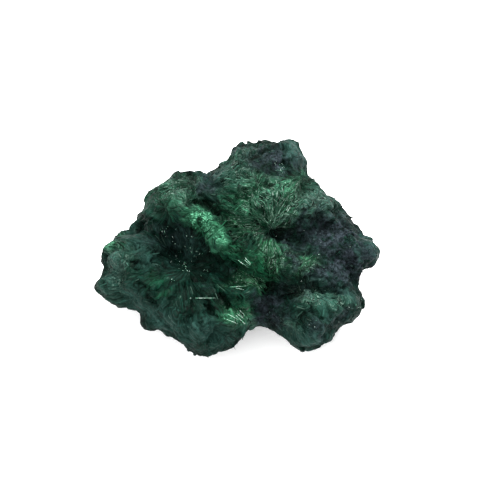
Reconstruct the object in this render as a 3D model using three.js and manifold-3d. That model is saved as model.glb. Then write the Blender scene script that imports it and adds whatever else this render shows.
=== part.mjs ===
// A specimen of fibrous malachite: one clump of needle sprays grown together and broken off its seam.
// Millimetres, +Z up, the clump resting on z = 0 with its box centred on the Z axis.
// Its shape is given on the face it is shown by: "across" runs right, "up" runs up the face, and "out"
// comes off the face along a line of sight that climbs from the table at SIGHT_ANGLE.

import * as THREE from "three";
import { ImprovedNoise } from "three/addons/math/ImprovedNoise.js";
import Module from "manifold-3d";

// Driving dimensions
const SIGHT_ANGLE = THREE.MathUtils.degToRad(60);
const RIM_LEAN = THREE.MathUtils.degToRad(16); // the rim leans this much off square to the line of sight
const RIM_OUT = 12.0; // how far out the rim passes at the middle of the face
const FACE_RISE = 9.5; // how far the face swells out of the rim
const EDGE_WIDTH = 7.5; // width of the rounded border inside the rim
const TUCK = 0.25; // how fast the flanks draw in behind the rim
const TUCK_BEND = 0.008; // and how much faster with each millimetre
const LEAST_RISE = 2.0; // and how far it does at the bottom of the deepest hollow
const UNDERSIDE_GAP = 1.7; // the underside's mean height off the table, between the feet
const FOOT_RADIUS = 4.6;
const FOOT_DEPTH = 3.4; // how far the feet reach down from that height before they are cut flat
const FACET = 1.45; // size of the facets
const SPIKE = 0.5; // the furthest a corner may stand off its neighbours
const LOW = [-32, -34, -4]; // box that the clump lies within, before it is centred
const HIGH = [32, 28, 30];

// The rim, which is the outline seen along the line of sight: [across, up]
const RIM = [
  [-28.8, -7.6], [-28.0, -6.2], [-27.2, -5.0], [-27.6, -2.6], [-27.2, -0.8], [-26.6, 0.6], [-25.6, 1.8],
  [-23.0, 3.2], [-21.2, 4.6], [-21.1, 7.2], [-20.2, 8.2], [-18.8, 11.4], [-17.2, 13.0], [-14.0, 14.8],
  [-12.0, 14.9], [-9.8, 15.7], [-8.2, 14.4], [-7.0, 14.6], [-5.2, 16.6], [-3.0, 17.6], [-2.4, 20.2],
  [0.4, 21.7], [1.8, 21.8], [3.0, 21.4], [4.4, 22.3], [5.8, 21.4], [7.4, 20.9], [9.4, 22.1], [11.2, 21.4],
  [11.8, 20.2], [14.0, 18.0], [14.4, 15.6], [15.6, 13.2], [16.4, 11.3], [19.4, 9.6], [20.2, 8.2],
  [22.4, 6.0], [22.6, 4.8], [24.0, 3.3], [26.6, 2.0], [28.0, -0.2], [28.1, -1.4], [26.0, -3.2],
  [24.2, -4.6], [23.6, -5.8], [22.3, -6.4], [23.2, -9.0], [24.5, -11.8], [22.8, -13.8], [20.0, -15.4],
  [19.6, -16.4], [18.4, -17.0], [17.2, -19.2], [14.0, -20.2], [12.0, -20.4], [10.0, -19.2], [8.6, -16.8],
  [5.8, -15.9], [3.8, -14.7], [1.8, -15.6], [0.0, -17.8], [-3.4, -19.6], [-6.6, -20.3], [-8.0, -21.2],
  [-11.0, -19.8], [-14.0, -17.6], [-15.9, -15.6], [-18.0, -15.4], [-19.2, -15.3], [-19.8, -13.4],
  [-21.2, -11.4], [-24.2, -11.5], [-26.0, -9.8], [-28.0, -8.6],
];

// Swells (rise above 0) and hollows (below 0) of the face, each an oval turned by so many degrees
const RELIEF = [
  { form: "bowl of the left rosette", at: [-12.8, 0.0], reach: [9.4, 5.0], turn: -36, rise: -5.4 },
  { form: "upper crest", at: [-9.6, 7.0], reach: [6.0, 2.3], turn: -38, rise: 3.2 },
  { form: "lower crest", at: [-0.5, -1.5], reach: [6.5, 2.7], turn: -38, rise: 2.6 },
  { form: "left shoulder", at: [-17.0, -9.0], reach: [7.5, 3.0], turn: -42, rise: 1.8 },
  { form: "bottom shoulder", at: [-5.5, -13.5], reach: [6.5, 3.4], turn: 18, rise: 2.0 },
  { form: "spur across the bowl", at: [-19.8, -1.4], reach: [4.2, 1.7], turn: 22, rise: 2.2 },
  { form: "upper left lobe", at: [-14.4, 10.8], reach: [5.4, 3.6], turn: -12, rise: 1.6 },
  { form: "cleft beside it", at: [-6.6, 12.4], reach: [2.0, 4.4], turn: -12, rise: -2.8 },
  { form: "top lobe", at: [3.0, 15.0], reach: [8.5, 6.0], turn: 0, rise: 1.6 },
  { form: "pit of the top lobe", at: [6.6, 16.2], reach: [6.2, 2.2], turn: -12, rise: -2.0 },
  { form: "body of the upper fan", at: [4.6, 9.4], reach: [7.0, 4.6], turn: 10, rise: 2.2 },
  { form: "lip of the ledge", at: [13.0, 8.8], reach: [8.0, 2.6], turn: 12, rise: 1.8 },
  { form: "recess under the ledge", at: [14.6, 3.0], reach: [8.6, 2.6], turn: 14, rise: -3.2 },
  { form: "spur in the recess", at: [11.4, -2.4], reach: [4.6, 2.4], turn: 15, rise: 2.4 },
  { form: "right slope", at: [20.6, -3.6], reach: [4.6, 4.2], turn: 0, rise: -1.6 },
  { form: "right tip", at: [25.4, 0.0], reach: [2.6, 3.2], turn: 20, rise: 2.4 },
  { form: "gully over the lower right lobe", at: [11.2, -7.6], reach: [8.0, 1.6], turn: -4, rise: -3.2 },
  { form: "lower right lobe", at: [14.2, -13.6], reach: [7.0, 4.8], turn: 0, rise: 1.8 },
  { form: "cleft left of it", at: [4.6, -12.4], reach: [1.9, 4.6], turn: -12, rise: -3.2 },
  { form: "step at the far left", at: [-24.4, -8.8], reach: [3.2, 3.0], turn: 0, rise: -3.8 },
  { form: "step at the lower left", at: [-18.2, -13.8], reach: [2.8, 2.2], turn: 0, rise: -3.4 },
];

// Sprays of needles: the point they spread from, how far they reach, and how many ribs a full turn has
const FANS = [
  { form: "left rosette", at: [-11.0, -2.6], reach: 15, ribs: 17, depth: 1.0 },
  { form: "upper left spray", at: [-12.6, 6.4], reach: 8, ribs: 13, depth: 0.8 },
  { form: "crest spray", at: [-7.6, 11.0], reach: 13, ribs: 22, depth: 0.9 },
  { form: "upper fan", at: [6.4, 4.2], reach: 9, ribs: 15, depth: 0.9 },
  { form: "ledge spray", at: [11.5, 17.0], reach: 9, ribs: 16, depth: 0.7 },
  { form: "middle spray", at: [7.5, -0.6], reach: 6, ribs: 11, depth: 0.7 },
  { form: "lower right spray", at: [13.0, -8.4], reach: 10, ribs: 15, depth: 0.8 },
];

// Crusts of small round lumps on the face
const CRUSTS = [
  { form: "recess and right slope", at: [18.0, 0.5], reach: [10.0, 7.5], turn: -15, rise: 1.0 },
  { form: "gully and its left bank", at: [8.0, -9.8], reach: [7.5, 4.6], turn: -12, rise: 0.9 },
  { form: "pit of the top lobe", at: [7.0, 17.4], reach: [8.0, 3.6], turn: -10, rise: 0.8 },
];
const EDGE_SHARPNESS = 1.3; // 1 gives soft swells, more gives flat tops and steep sides
const BEND = 2.2; // how far the ovals' edges wander
const BEND_LENGTH = 5.5;

// Ribs of the sprays
const RIB_HEIGHT = 2.4;
const RIB_WANDER = 0.5; // how far a rib strays from its straight line, as a share of its width
const RIB_WANDER_LENGTH = 6;
const SPLINTER_HEIGHT = 1.6; // how much more or less high a splinter of a rib is, as a share of RIB_HEIGHT
const SPLINTER_LENGTH = 4.6;
const HEART_RADIUS = 3.5; // the ribs begin this far from the point that they spread from
const SEAM = 0.1; // width of the seam between two sprays, as a share of their reach

// Broken rock all over the clump
const CRAGS = [
  { height: 2.6, length: 8.5 },
  { height: 1.1, length: 3.9 },
];
const CRAG_MEAN = 0.25; // keeps the crags' mean height at nought
const LUMP_SPACING = 3.1;
const LUMP_HEIGHT = 1.5;
const LUMP_MEAN = 0.5;
const LUMPS_ELSEWHERE = 0.35; // share of that height outside the crusts

// Flanks and underside, as they broke from the seam
const FLANK_START = 4; // the flank is fully rough this far behind the rim
const LEDGE_DEPTH = 2.2;
const LEDGE_SPACING = 3.6;
const LEDGE_LENGTH = 12;
const FLUTE_DEPTH = 1.6;
const FLUTE_WIDTH = 3.4;
const FLUTE_LENGTH = 14;
const UNDERSIDE_BUMPS = [
  { height: 1.6, length: 7.0 },
  { height: 0.7, length: 2.8 },
];

// The spots the clump rests on: [x, y], before it is centred
const FEET = [[-16.5, -9.0], [15.5, -10.0], [-10.0, 6.5], [10.5, 6.0], [0.0, -3.0], [-6.0, -17.0]];

const noise = new ImprovedNoise();
const noiseOf = (length, x, y, z) => noise.noise(x / length, y / length, z / length);
const { clamp, degToRad, lerp, smoothstep } = THREE.MathUtils;

// 1 over the middle of a turned oval, falling to 0 a little past its reach
function ovalWeight({ at, reach, turn }, across, up) {
  const angle = degToRad(turn);
  const dx = across - at[0];
  const dy = up - at[1];
  const along = (dx * Math.cos(angle) + dy * Math.sin(angle)) / reach[0];
  const beside = (dy * Math.cos(angle) - dx * Math.sin(angle)) / reach[1];
  return Math.exp(-((along * along + beside * beside) ** EDGE_SHARPNESS));
}

const sumOf = (ovals, across, up) =>
  ovals.reduce((sum, oval) => sum + oval.rise * ovalWeight(oval, across, up), 0);

// Distance inside the rim, negative outside it
const rimPoints = new THREE.CatmullRomCurve3(
  RIM.map(([across, up]) => new THREE.Vector3(across, up, 0)),
  true,
  "centripetal",
).getPoints(RIM.length * 3);

function insideRim(across, up) {
  let nearest = Infinity;
  let inside = false;
  for (let i = 1; i < rimPoints.length; i++) {
    const a = rimPoints[i - 1];
    const b = rimPoints[i];
    const along = clamp(
      ((across - a.x) * (b.x - a.x) + (up - a.y) * (b.y - a.y)) / a.distanceToSquared(b), 0, 1,
    );
    const dx = across - a.x - along * (b.x - a.x);
    const dy = up - a.y - along * (b.y - a.y);
    nearest = Math.min(nearest, dx * dx + dy * dy);
    if (a.y > up !== b.y > up && across < a.x + ((up - a.y) * (b.x - a.x)) / (b.y - a.y)) inside = !inside;
  }
  return inside ? Math.sqrt(nearest) : -Math.sqrt(nearest);
}

// A number from 0 to 1 that looks random, but is always the same for the same four numbers
const scatter = (i, j, k, n) => {
  const value = Math.sin(i * 127.1 + j * 311.7 + k * 74.7 + n * 53.3) * 43758.5453;
  return value - Math.floor(value);
};

// Ribs that spread from the fan which owns the point, each one splintered off at heights of its own, dying
// out at the border with the next fan
function ribs(across, up) {
  const ranked = FANS.map((fan) => {
    const distance = Math.hypot(across - fan.at[0], up - fan.at[1]);
    return { fan, distance, score: distance / fan.reach };
  }).sort((a, b) => a.score - b.score);
  const { fan, distance, score } = ranked[0];
  const angle = Math.atan2(up - fan.at[1], across - fan.at[0]);
  const stray = RIB_WANDER * noise.noise(across / RIB_WANDER_LENGTH, up / RIB_WANDER_LENGTH, fan.ribs);
  const turns = (angle / (2 * Math.PI) + 1) * fan.ribs + stray;
  const rib = Math.floor(turns);
  const beside = turns - rib;
  const ridge = 1 - Math.abs(2 * beside - 1);
  const splinter = noise.noise(distance / SPLINTER_LENGTH, (rib % fan.ribs) * 5.3, fan.reach);
  const share = smoothstep(ranked[1].score - score, 0, SEAM) * smoothstep(distance, 0, HEART_RADIUS);
  return RIB_HEIGHT * fan.depth * share * (ridge - 0.5 + SPLINTER_HEIGHT * splinter * ridge);
}

// Round lumps, one in each box of a jumbled grid
function lumps(x, y, z) {
  const [i0, j0, k0] = [x, y, z].map((v) => Math.floor(v / LUMP_SPACING));
  let nearest = 1;
  for (let i = i0 - 1; i <= i0 + 1; i++)
    for (let j = j0 - 1; j <= j0 + 1; j++)
      for (let k = k0 - 1; k <= k0 + 1; k++) {
        const dx = x / LUMP_SPACING - i - scatter(i, j, k, 0);
        const dy = y / LUMP_SPACING - j - scatter(i, j, k, 1);
        const dz = z / LUMP_SPACING - k - scatter(i, j, k, 2);
        nearest = Math.min(nearest, Math.hypot(dx, dy, dz));
      }
  return LUMP_HEIGHT * (LUMP_MEAN - nearest);
}

// Height of the broken underside over the table; it dips below the table at the feet, where it is cut
function undersideHeight(x, y) {
  const rough = UNDERSIDE_BUMPS.reduce(
    (sum, { height, length }) => sum + height * noise.noise(x / length, y / length, length), 0,
  );
  const feet = FEET.reduce(
    (sum, [fx, fy]) => sum + Math.exp(-(((x - fx) ** 2 + (y - fy) ** 2) / FOOT_RADIUS ** 2)), 0,
  );
  return UNDERSIDE_GAP + rough - FOOT_DEPTH * Math.min(feet, 1.2);
}

// Depth below the clump's surface, in millimetres, positive inside it
function depthAt(x, y, z) {
  const across = x;
  const up = y * Math.sin(SIGHT_ANGLE) + z * Math.cos(SIGHT_ANGLE);
  const out = z * Math.sin(SIGHT_ANGLE) - y * Math.cos(SIGHT_ANGLE);
  const rimOut = RIM_OUT - up * Math.tan(RIM_LEAN);
  const inside = insideRim(across, up);

  const crust = clamp(sumOf(CRUSTS, across, up), 0, 1);
  const bentAcross = across + BEND * noise.noise(across / BEND_LENGTH, up / BEND_LENGTH, 1.5);
  const bentUp = up + BEND * noise.noise(across / BEND_LENGTH, up / BEND_LENGTH, 6.5);
  const relief = Math.max(
    FACE_RISE + sumOf(RELIEF, bentAcross, bentUp) + (1 - crust) * ribs(across, up), LEAST_RISE,
  );
  const border = 1 - clamp(inside / EDGE_WIDTH, 0, 1);
  const height = Math.max(out - rimOut, 0);
  const face = relief * (1 - Math.hypot(border, height / relief));

  const behind = Math.max(rimOut - out, 0);
  const flutes = FLUTE_DEPTH * noise.noise(x / FLUTE_WIDTH, y / FLUTE_WIDTH, z / FLUTE_LENGTH);
  const ledges = LEDGE_DEPTH * noise.noise(x / LEDGE_LENGTH, y / LEDGE_LENGTH, z / LEDGE_SPACING);
  const drawnIn = TUCK * behind + TUCK_BEND * behind * behind;
  const flank = inside - drawnIn + (flutes + ledges) * smoothstep(behind, 0, FLANK_START);

  const underside = z - undersideHeight(x, y);
  const crags = CRAGS.reduce(
    (sum, crag) => sum + crag.height * (CRAG_MEAN - Math.abs(noiseOf(crag.length, x, y, z))), 0,
  );
  return Math.min(face, flank, underside) + lerp(LUMPS_ELSEWHERE, 1, crust) * lumps(x, y, z) + crags;
}

// Where a square of the grid has its corners inside and outside by turns, two sheets of the surface would
// meet in one edge, so the outside corner that is nearest the surface is filled in.
function fillPinches(values, count, at) {
  const steps = [[1, 0, 0], [0, 1, 0], [0, 0, 1]];
  let filled = true;
  while (filled) {
    filled = false;
    for (let k = 0; k < count[2] - 1; k++)
      for (let j = 0; j < count[1] - 1; j++)
        for (let i = 0; i < count[0] - 1; i++)
          for (let axis = 0; axis < 3; axis++) {
            const u = steps[(axis + 1) % 3];
            const v = steps[(axis + 2) % 3];
            const corners = [
              at(i, j, k),
              at(i + u[0], j + u[1], k + u[2]),
              at(i + u[0] + v[0], j + u[1] + v[1], k + u[2] + v[2]),
              at(i + v[0], j + v[1], k + v[2]),
            ];
            const [a, b, c, d] = corners.map((corner) => values[corner] > 0);
            if (a !== c || b !== d || a === b) continue;
            const outside = corners.filter((corner) => values[corner] <= 0);
            values[outside.reduce((p, q) => (values[q] > values[p] ? q : p))] = 1e-3;
            filled = true;
          }
  }
}

// The surface where depth is zero, as one closed mesh with a vertex in each grid cell it passes through
function surfaceNet(depth, low, high, cell) {
  const count = [0, 1, 2].map((n) => Math.ceil((high[n] - low[n]) / cell) + 1);
  const at = (i, j, k) => i + count[0] * (j + count[1] * k);
  const place = (n, i) => low[n] + i * cell;
  const values = new Float64Array(count[0] * count[1] * count[2]);
  for (let k = 0; k < count[2]; k++)
    for (let j = 0; j < count[1]; j++)
      for (let i = 0; i < count[0]; i++) {
        const atBorder = [i, j, k].some((v, n) => v === 0 || v === count[n] - 1);
        values[at(i, j, k)] = atBorder ? -cell : depth(place(0, i), place(1, j), place(2, k));
      }
  fillPinches(values, count, at);

  const positions = [];
  const vertexOf = new Map();
  const cornerOffsets = [0, 1, 2, 3, 4, 5, 6, 7].map((n) => [n & 1, (n >> 1) & 1, n >> 2]);
  const cellVertex = (i, j, k) => {
    const key = at(i, j, k);
    if (vertexOf.has(key)) return vertexOf.get(key);
    const sum = new THREE.Vector3();
    let crossings = 0;
    for (const p of cornerOffsets)
      for (let axis = 0; axis < 3; axis++) {
        if (p[axis]) continue;
        const q = p.map((v, n) => (n === axis ? 1 : v));
        const from = values[at(i + p[0], j + p[1], k + p[2])];
        const to = values[at(i + q[0], j + q[1], k + q[2])];
        if (from > 0 === to > 0) continue;
        const share = from / (from - to);
        sum.add(new THREE.Vector3(...p.map((v, n) => (n === axis ? share : v))));
        crossings++;
      }
    sum.divideScalar(crossings);
    vertexOf.set(key, positions.length / 3);
    positions.push(place(0, i) + sum.x * cell, place(1, j) + sum.y * cell, place(2, k) + sum.z * cell);
    return positions.length / 3 - 1;
  };

  const triangles = [];
  const corner = (n) => new THREE.Vector3().fromArray(positions, n * 3);
  for (let k = 1; k < count[2] - 1; k++)
    for (let j = 1; j < count[1] - 1; j++)
      for (let i = 1; i < count[0] - 1; i++)
        for (let axis = 0; axis < 3; axis++) {
          const from = values[at(i, j, k)];
          const to = values[at(i + (axis === 0), j + (axis === 1), k + (axis === 2))];
          if (from > 0 === to > 0) continue;
          const around = [[0, 0], [-1, 0], [-1, -1], [0, -1]].map(([u, v]) => {
            const shift = [0, 0, 0];
            shift[(axis + 1) % 3] = u;
            shift[(axis + 2) % 3] = v;
            return cellVertex(i + shift[0], j + shift[1], k + shift[2]);
          });
          const [a, b, c, d] = from > 0 ? around : around.reverse();
          const firstIsShorter = corner(a).distanceTo(corner(c)) < corner(b).distanceTo(corner(d));
          triangles.push(...(firstIsShorter ? [a, b, c, a, c, d] : [b, c, d, b, d, a]));
        }
  return { positions, triangles };
}

// Moves each vertex along the slope of the depth until it lies on the surface, but not out of its own cell
function settle(positions, depth, cell) {
  const step = 0.08;
  const flattest = 0.25;
  const rounds = 3;
  const furthest = cell * 0.45;
  for (let n = 0; n < positions.length; n += 3) {
    const start = positions.slice(n, n + 3);
    let [x, y, z] = start;
    for (let round = 0; round < rounds; round++) {
      const here = depth(x, y, z);
      const slope = new THREE.Vector3(
        depth(x + step, y, z) - here,
        depth(x, y + step, z) - here,
        depth(x, y, z + step) - here,
      ).divideScalar(step);
      const move = slope.multiplyScalar(-here / Math.max(slope.lengthSq(), flattest));
      move.clampLength(0, cell / 4);
      [x, y, z] = [x + move.x, y + move.y, z + move.z];
    }
    [x, y, z].forEach((value, axis) => {
      positions[n + axis] = clamp(value, start[axis] - furthest, start[axis] + furthest);
    });
  }
}

// Draws in each vertex that stands far off the middle of its neighbours
function trimSpikes(positions, triangles, most) {
  const sums = Array.from({ length: positions.length / 3 }, () => ({ total: new THREE.Vector3(), count: 0 }));
  const corner = (n) => new THREE.Vector3().fromArray(positions, n * 3);
  for (let n = 0; n < triangles.length; n += 3)
    for (const [a, b] of [[0, 1], [1, 2], [2, 0]]) {
      const sum = sums[triangles[n + a]];
      sum.total.add(corner(triangles[n + b]));
      sum.count++;
    }
  sums.forEach(({ total, count }, n) => {
    const middle = total.divideScalar(count);
    const off = corner(n).sub(middle);
    middle.add(off.clampLength(0, most)).toArray(positions, n * 3);
  });
}

const wasm = await Module();
wasm.setup();

function toManifold(positions, triangles) {
  return new wasm.Manifold(
    new wasm.Mesh({
      numProp: 3,
      vertProperties: new Float32Array(positions),
      triVerts: new Uint32Array(triangles),
    }),
  );
}

// Everything below the table, to cut the feet flat
function belowTable() {
  const box = new THREE.BoxGeometry(100, 100, 20).translate(0, 0, -10);
  box.deleteAttribute("normal").deleteAttribute("uv");
  const merged = mergeCorners(box);
  return toManifold(merged.positions, merged.triangles);
}

function mergeCorners(geometry) {
  const keys = new Map();
  const positions = [];
  const points = geometry.getAttribute("position");
  const renumbered = Array.from({ length: points.count }, (_, n) => {
    const xyz = [points.getX(n), points.getY(n), points.getZ(n)];
    const key = xyz.join();
    if (!keys.has(key)) {
      keys.set(key, keys.size);
      positions.push(...xyz);
    }
    return keys.get(key);
  });
  return { positions, triangles: Array.from(geometry.index.array, (n) => renumbered[n]) };
}

function makeClump() {
  const { positions, triangles } = surfaceNet(depthAt, LOW, HIGH, FACET);
  settle(positions, depthAt, FACET);
  trimSpikes(positions, triangles, SPIKE);
  const cut = toManifold(positions, triangles).subtract(belowTable());
  const largest = cut.decompose().reduce((a, b) => (a.volume() > b.volume() ? a : b));
  const mesh = largest.getMesh();
  const geometry = new THREE.BufferGeometry()
    .setAttribute("position", new THREE.BufferAttribute(new Float32Array(mesh.vertProperties), 3))
    .setIndex(new THREE.BufferAttribute(new Uint32Array(mesh.triVerts), 1));
  geometry.computeBoundingBox();
  const centre = geometry.boundingBox.getCenter(new THREE.Vector3());
  geometry.translate(-centre.x, -centre.y, -geometry.boundingBox.min.z);
  geometry.computeVertexNormals();
  return geometry;
}

const malachite = new THREE.Mesh(
  makeClump(),
  new THREE.MeshStandardMaterial({ color: 0x1d4a39, roughness: 0.62, metalness: 0 }),
);
malachite.name = "malachite";

const specimen = new THREE.Group();
specimen.add(malachite);

export default specimen;
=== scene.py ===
# A specimen of fibrous malachite: one clump of needle sprays grown together and broken off its seam.
# Places on the clump are given in millimetres on the face it is shown by: "across" runs right, "up" runs
# up the face, and "out" comes off it along a line of sight that climbs from the table at SIGHT_ANGLE.

import math

import bmesh
import bpy
import numpy as np
from mathutils import Matrix, Vector, noise
from mathutils.bvhtree import BVHTree


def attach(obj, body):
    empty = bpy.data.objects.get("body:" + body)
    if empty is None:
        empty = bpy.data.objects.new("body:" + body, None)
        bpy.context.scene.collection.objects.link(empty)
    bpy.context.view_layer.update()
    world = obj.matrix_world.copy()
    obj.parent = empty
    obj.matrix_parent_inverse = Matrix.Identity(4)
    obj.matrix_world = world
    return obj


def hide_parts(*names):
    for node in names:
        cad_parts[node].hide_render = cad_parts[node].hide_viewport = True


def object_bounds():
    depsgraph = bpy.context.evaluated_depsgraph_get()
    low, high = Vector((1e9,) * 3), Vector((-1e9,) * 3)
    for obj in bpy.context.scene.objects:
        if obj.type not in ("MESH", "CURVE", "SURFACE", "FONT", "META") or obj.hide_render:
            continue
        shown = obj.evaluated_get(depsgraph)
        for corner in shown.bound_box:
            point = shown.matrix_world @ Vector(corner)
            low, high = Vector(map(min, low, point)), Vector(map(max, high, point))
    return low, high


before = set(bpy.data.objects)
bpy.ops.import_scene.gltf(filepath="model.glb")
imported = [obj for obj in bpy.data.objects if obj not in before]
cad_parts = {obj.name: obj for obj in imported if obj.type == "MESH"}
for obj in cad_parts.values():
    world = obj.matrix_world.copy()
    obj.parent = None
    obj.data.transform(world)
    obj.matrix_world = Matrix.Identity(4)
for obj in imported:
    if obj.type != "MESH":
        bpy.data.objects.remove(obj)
cad_low, cad_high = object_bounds()

# The clump
# Dark green malachite that grew as sprays of needles, each spreading from a heart just under the surface
# until it met the next. Breaking it off the seam left splintered ribs, crumbly crusts and deep hollows.
MM = 0.001
SIGHT_ANGLE = math.radians(60)
FACE_ORIGIN = np.array([0.83, 5.25, 0.0])
FACE_AXES = np.array([
    [1, 0, 0],
    [0, math.sin(SIGHT_ANGLE), math.cos(SIGHT_ANGLE)],
    [0, -math.cos(SIGHT_ANGLE), math.sin(SIGHT_ANGLE)],
])

# Sprays of the shown face: where on it the heart lies, how deep, how far the spray reaches, how long its
# needles are and how far they lift off the surface (0 lies flat, 1 stands at 45 degrees). A spray that has
# patches takes all of the surface in them, whatever its reach.
SPRAYS = {
    "left rosette": {"heart": (-11.4, -3.6), "sink": 2.0, "reach": 17, "needle": 3.0, "lift": 0.08},
    "far left": {"heart": (-20.5, -1.6), "sink": 1.6, "reach": 6, "needle": 1.8, "lift": 0.12},
    "upper left": {"heart": (-14.0, 7.6), "sink": 1.8, "reach": 9, "needle": 2.8, "lift": 0.08},
    "crest top": {"heart": (-8.0, 5.4), "sink": 2.4, "reach": 5.5, "needle": 1.3, "lift": 0.45},
    "crest slope": {"heart": (-8.6, 12.0), "sink": 2.0, "reach": 14, "needle": 2.6, "lift": 0.11},
    "crest foot": {"heart": (1.0, -1.6), "sink": 2.0, "reach": 5.5, "needle": 1.8, "lift": 0.25},
    "foot streaks": {
        "heart": (-13.0, 6.5), "sink": 2.0, "reach": 1, "needle": 2.4, "lift": 0.10,
        "patches": [((-0.8, -3.4), (7.0, 3.4), -36, 1.0)],
    },
    "upper fan": {"heart": (6.4, 4.0), "sink": 1.6, "reach": 12, "needle": 3.0, "lift": 0.08},
    "top left": {"heart": (2.6, 11.4), "sink": 2.0, "reach": 8, "needle": 2.4, "lift": 0.09},
    "ledge": {"heart": (11.4, 13.4), "sink": 1.8, "reach": 8, "needle": 2.2, "lift": 0.10},
    "top knobs": {"heart": (6.0, 19.0), "sink": 2.4, "reach": 5, "needle": 1.2, "lift": 0.25},
    "middle patch": {"heart": (12.0, -3.8), "sink": 1.6, "reach": 5, "needle": 1.8, "lift": 0.15},
    "lower right": {"heart": (13.4, -8.0), "sink": 2.0, "reach": 10, "needle": 1.9, "lift": 0.10},
    "lower right foot": {"heart": (10.0, -12.6), "sink": 2.0, "reach": 8, "needle": 1.9, "lift": 0.10},
    "right tip": {"heart": (24.6, 0.4), "sink": 2.4, "reach": 5, "needle": 1.3, "lift": 0.20},
    "left shoulder": {
        "heart": (-11.4, -3.6), "sink": 2.0, "reach": 1, "needle": 1.6, "lift": 0.06,
        "patches": [((-15.0, -12.0), (11.0, 5.0), -36, 1.0), ((-5.0, -15.0), (8.0, 5.0), 0, 1.0)],
    },
}
# Sprays that start at random where no spray of the face reaches: clear is how many times the reach of the
# nearest one they keep from its heart, in the open and in dusky crust
WILD_SPRAYS = {
    "count": 130, "sink": 2.0, "reach": 7.0, "reach_varies": (0.7, 1.2), "needle": 1.0, "lift": 0.12,
    "clear": 1.1, "clear_in_crust": 0.6,
}

# Broken edges of the shown face. Walking along one, the rock to the left stands out by the rise, and falls
# sheer to the right, down to the drop. Both fade away over the reach.
SCARPS = {
    "lip of the ledge": {
        "line": [(3.0, 1.4), (5.6, 3.2), (8.6, 4.2), (11.6, 5.6), (15.6, 7.2), (19.6, 8.6)],
        "rise": 0.5, "drop": 0.8, "reach": 2.2,
    },
    "wall under the crest": {
        "line": [
            (-15.0, 8.0), (-13.6, 5.6), (-11.0, 4.4), (-8.2, 3.2), (-6.2, 0.8), (-4.8, -1.2), (-2.0, -2.4),
        ],
        "rise": 0.5, "drop": 1.3, "reach": 2.4,
    },
    "bank of the gully": {
        "line": [(4.4, -5.8), (7.2, -6.6), (10.4, -7.0), (15.0, -7.4), (18.0, -8.0)],
        "rise": 0.4, "drop": 0.9, "reach": 1.6,
    },
    "foot of the upper left lobe": {
        "line": [(-21.6, 7.6), (-18.8, 6.4), (-16.2, 5.6), (-13.6, 3.6)],
        "rise": 0.4, "drop": 0.9, "reach": 1.8,
    },
    "left bank of the cleft": {
        "line": [(-9.6, 15.4), (-8.8, 13.0), (-7.8, 11.0), (-6.4, 9.2)],
        "rise": 0.1, "drop": 0.8, "reach": 1.2,
    },
    "right slope": {
        "line": [(18.4, 6.4), (20.4, 3.4), (22.4, 0.4), (23.4, -3.0)],
        "rise": -0.2, "drop": -0.9, "reach": 1.6,
    },
    "left bank of the lower cleft": {
        "line": [(4.0, -15.0), (3.6, -12.0), (3.8, -9.0), (4.6, -6.4)],
        "rise": 0.3, "drop": 0.9, "reach": 1.6,
    },
    "step in the upper fan": {
        "line": [(-3.6, 9.6), (-0.6, 8.4), (2.4, 8.6), (5.0, 9.8)],
        "rise": 0.35, "drop": 0.35, "reach": 1.6,
    },
    "edge of the top pit": {
        "line": [(13.4, 14.6), (10.0, 13.6), (6.6, 14.2), (3.4, 15.6), (1.6, 18.0)],
        "rise": 0.3, "drop": 0.7, "reach": 1.8,
    },
    "rim of the left shoulder": {
        "line": [(-7.0, -16.2), (-11.4, -12.6), (-16.0, -8.8), (-20.0, -5.8), (-22.4, -2.6)],
        "rise": 0.15, "drop": 0.4, "reach": 2.0,
    },
    "crack behind the crest": {
        "line": [(-10.0, 9.4), (-7.4, 8.6), (-5.2, 7.2), (-3.6, 4.8), (-1.6, 2.4)],
        "rise": -1.3, "drop": 1.3, "reach": 0.7,
    },
}

# Patches of the shown face, each an oval: its middle, how far it reaches along and aside, how many degrees
# it is turned and its strength. Where some of one kind overlap, the strongest counts. Mint is the tips of
# needles seen end on, dusk a grey crust and dust a dull bloom; smooth has little relief. The sheen patches
# are a painted sheen: a paler green standing in for the silky light off the fibres.
EMERALD_PATCHES = [
    ((-7.0, 4.4), (4.4, 2.2), -50, 1.0),
    ((-3.0, 0.4), (6.0, 2.3), -42, 0.5),
    ((4.2, -3.4), (4.6, 3.2), -20, 0.6),
    ((5.6, 0.4), (2.8, 1.1), -15, 0.8),
    ((12.2, -2.8), (3.0, 2.2), 0, 0.9),
    ((-16.4, -5.6), (1.6, 1.2), 20, 0.3),
    ((-14.8, -8.6), (1.6, 1.0), 10, 0.3),
    ((-17.0, 8.6), (4.4, 3.6), 0, 0.5),
    ((-0.4, -13.4), (4.0, 2.2), -35, 0.85),
    ((1.6, -6.6), (3.8, 1.8), 5, 1.0),
    ((-3.0, 7.0), (5.0, 6.0), -45, 0.15),
    ((4.0, 8.4), (7.0, 5.0), 15, 1.0),
    ((-25.6, 0.8), (1.6, 1.6), 0, 0.6),
    ((-1.6, 18.0), (2.6, 2.0), 0, 0.4),
    ((7.6, 16.0), (1.3, 0.8), 0, 1.0),
    ((16.0, -10.4), (4.0, 2.6), 30, 0.3),
]
MINT_PATCHES = [
    ((-8.0, 6.0), (2.9, 1.9), -56, 1.0),
    ((-5.8, 2.8), (3.2, 1.5), -48, 0.8),
    ((-11.6, 8.4), (2.2, 1.6), -50, 0.2),
    ((1.2, -6.5), (2.8, 0.9), 5, 0.45),
    ((-1.2, -13.4), (2.6, 1.1), -35, 0.4),
    ((-25.4, 0.6), (1.4, 1.6), 0, 0.6),
    ((7.6, 16.0), (1.2, 0.7), 0, 0.7),
]
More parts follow.
